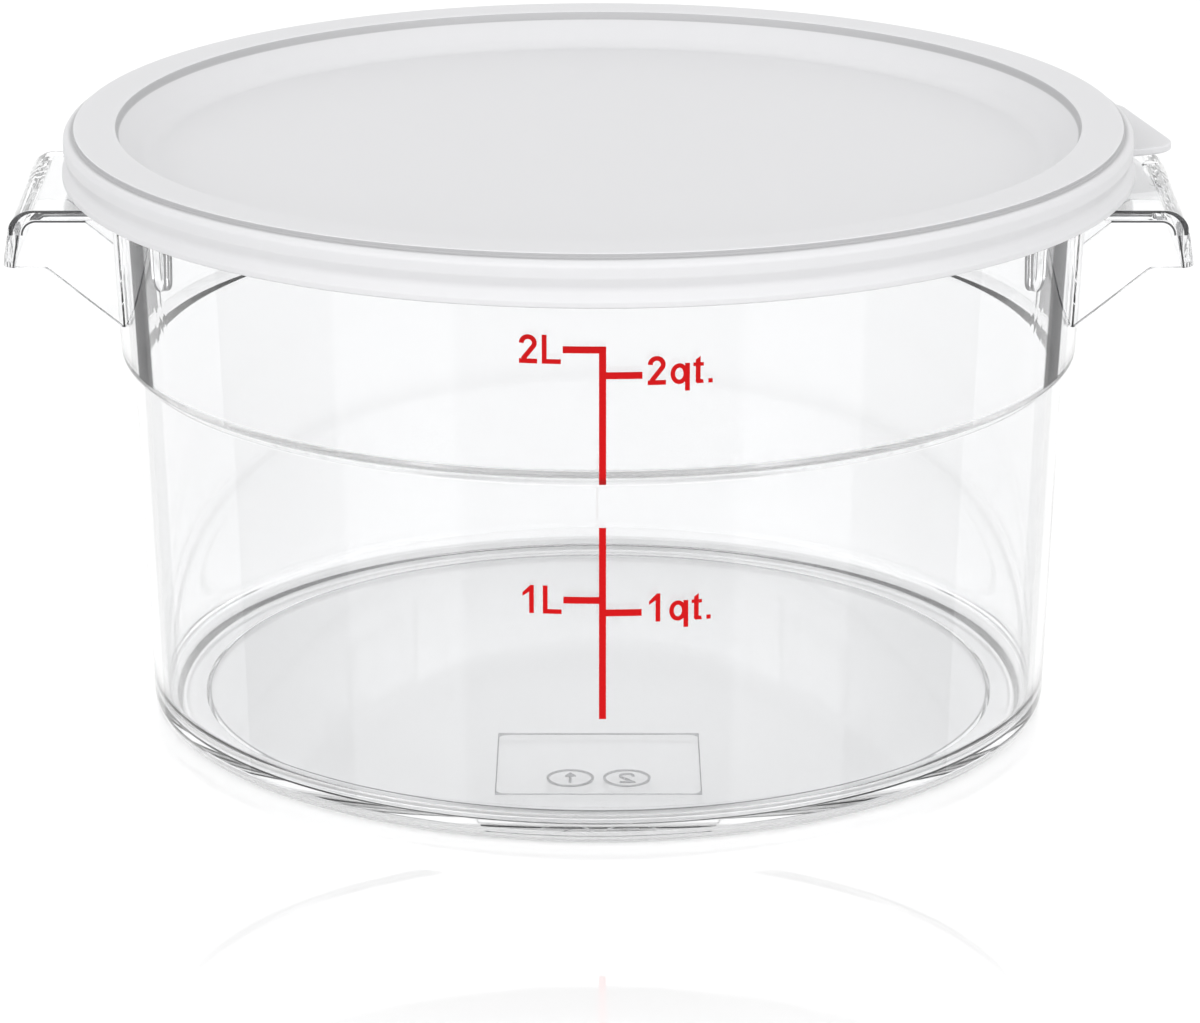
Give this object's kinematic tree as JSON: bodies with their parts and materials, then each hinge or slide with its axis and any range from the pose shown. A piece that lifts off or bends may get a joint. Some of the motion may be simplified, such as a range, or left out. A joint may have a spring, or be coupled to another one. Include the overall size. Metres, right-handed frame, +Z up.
{
  "type": "dough proofing container",
  "caption": "Round clear food container with a stepped wall, two open handles, a red printed scale and a white snap lid with a sunk middle and a pull tab.",
  "frame": {"origin": "centre of the foot ring, on the surface that the container stands on", "axes": "+Z up along the axis of the container, handles along +X and -X, printed scale facing -Y"},
  "size_m": [0.2178, 0.1984, 0.1119],
  "materials": {
    "clear_plastic": "clear polycarbonate, polished",
    "white_plastic": "white polyethylene, satin",
    "red_ink": "screen-printed ink"
  },
  "bodies": {
    "container_body": {"container": "clear_plastic", "scale_upper_lines": "red_ink", "scale_lower_lines": "red_ink", "figures_2_litre": "red_ink", "figures_2_quart": "red_ink", "figures_1_litre": "red_ink", "figures_1_quart": "red_ink"},
    "lid_body": {"lid": "white_plastic"}
  },
  "joints": [
    {"name": "lid_lift", "type": "slide", "parent": "container_body", "child": "lid_body", "axis": [0, 0, 1], "range_m": [0, 0.06]}
  ]
}
